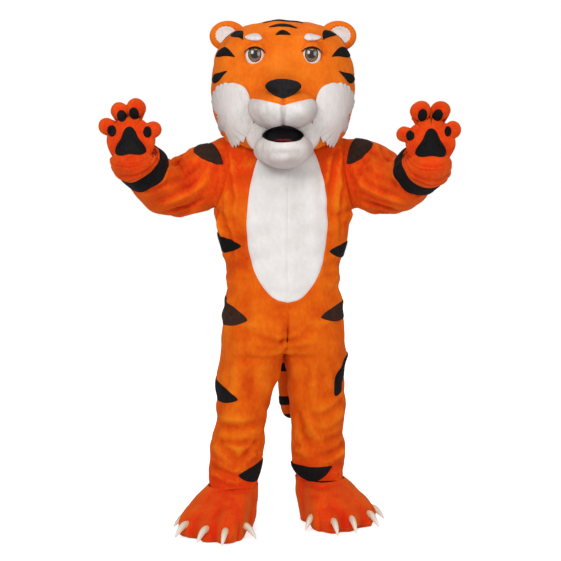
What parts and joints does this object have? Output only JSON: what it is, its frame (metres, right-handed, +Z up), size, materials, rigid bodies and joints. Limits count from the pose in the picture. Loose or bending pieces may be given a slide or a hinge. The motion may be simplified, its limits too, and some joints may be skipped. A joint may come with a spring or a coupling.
{
  "type": "tiger mascot costume",
  "caption": "Full-body plush tiger mascot costume, worn pose with raised arms: hollow suit with tail, clawed feet, padded mitts and a large hollow head.",
  "frame": {"origin": "between the wearer's shoulders, inside the suit, 1.43 m above the floor", "axes": "+Z up; the front faces -Y; +X towards the wearer's left"},
  "size_m": [1.2889, 0.6502, 1.902],
  "materials": {
    "orange_plush": "short pile orange plush",
    "bright_plush": "short pile red orange plush",
    "white_plush": "longer pile white plush",
    "black_plush": "short pile black plush",
    "tongue_plush": "dark red plush",
    "mesh_black": "black open gauze",
    "claw_plastic": "satin ivory",
    "eye_plastic": "domed glossy amber",
    "sole_rubber": "black sole"
  },
  "bodies": {
    "root": {"back_placket": "orange_plush", "belly_left": "white_plush", "belly_right": "white_plush", "cheek_ruff_left": "white_plush", "cheek_ruff_right": "white_plush", "claw_left_1": "claw_plastic", "claw_left_2": "claw_plastic", "claw_left_3": "claw_plastic", "claw_left_4": "claw_plastic", "claw_left_5": "claw_plastic", "claw_right_1": "claw_plastic", "claw_right_2": "claw_plastic", "claw_right_3": "claw_plastic", "claw_right_4": "claw_plastic", "claw_right_5": "claw_plastic", "cuff_band_left": "black_plush", "cuff_band_right": "black_plush", "ear_left": "orange_plush", "ear_right": "orange_plush", "eye_left": "eye_plastic", "eye_right": "eye_plastic", "foot_sole_left": "sole_rubber", "foot_sole_right": "sole_rubber", "foot_upper_left": "bright_plush", "foot_upper_right": "bright_plush", "head_shell": "orange_plush", "jaw": "white_plush", "mitt_back_left": "bright_plush", "mitt_back_right": "bright_plush", "mitt_gauntlet_left": "bright_plush", "mitt_gauntlet_right": "bright_plush", "mitt_palm_left": "bright_plush", "mitt_palm_right": "bright_plush", "mouth_mesh": "mesh_black", "muzzle": "white_plush", "nose": "black_plush", "palm_pad_left": "black_plush", "palm_pad_right": "black_plush", "sleeve_left": "orange_plush", "sleeve_right": "orange_plush", "stripe_calf_left": "black_plush", "stripe_calf_right": "black_plush", "stripe_hip_left": "black_plush", "stripe_hip_right": "black_plush", "stripe_shoulder_left": "black_plush", "stripe_shoulder_right": "black_plush", "stripe_thigh_left": "black_plush", "stripe_thigh_right": "black_plush", "stripe_waist_left": "black_plush", "stripe_waist_right": "black_plush", "suit_back_left": "orange_plush", "suit_back_right": "orange_plush", "suit_front_left": "orange_plush", "suit_front_right": "orange_plush", "tail": "orange_plush", "tail_band_1": "black_plush", "tail_band_2": "black_plush", "tail_band_3": "black_plush", "tail_tip": "black_plush", "tongue": "tongue_plush"}
  },
  "joints": []
}
